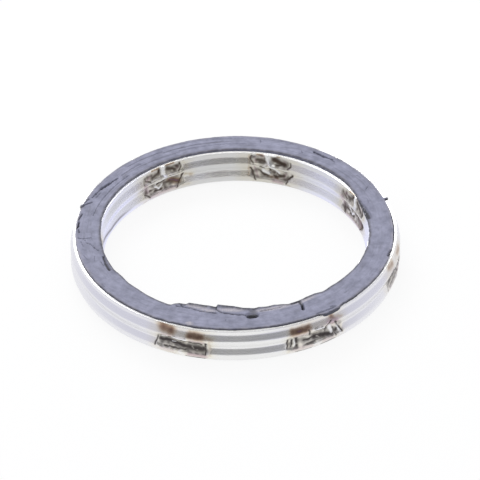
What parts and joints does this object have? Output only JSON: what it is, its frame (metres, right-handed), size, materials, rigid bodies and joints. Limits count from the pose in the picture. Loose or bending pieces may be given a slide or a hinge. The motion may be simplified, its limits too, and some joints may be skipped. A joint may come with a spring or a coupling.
{
  "type": "exhaust gasket",
  "caption": "Spiral-wound ring gasket for an exhaust joint: a corrugated steel strip wound with a graphite filler that forms both flat sealing faces.",
  "frame": {"origin": "centre of the lower sealing face, on the ring's axis", "axes": "+Z along the ring's axis, from the lower sealing face to the upper one; X and Y across the ring"},
  "size_m": [0.0469, 0.0471, 0.0055],
  "materials": {
    "steel": "bright rolled strip, heat-tinted at the welds",
    "graphite": "matt grey, faintly layered"
  },
  "bodies": {
    "root": {"steel_winding": "steel", "graphite_filler": "graphite"}
  },
  "joints": []
}
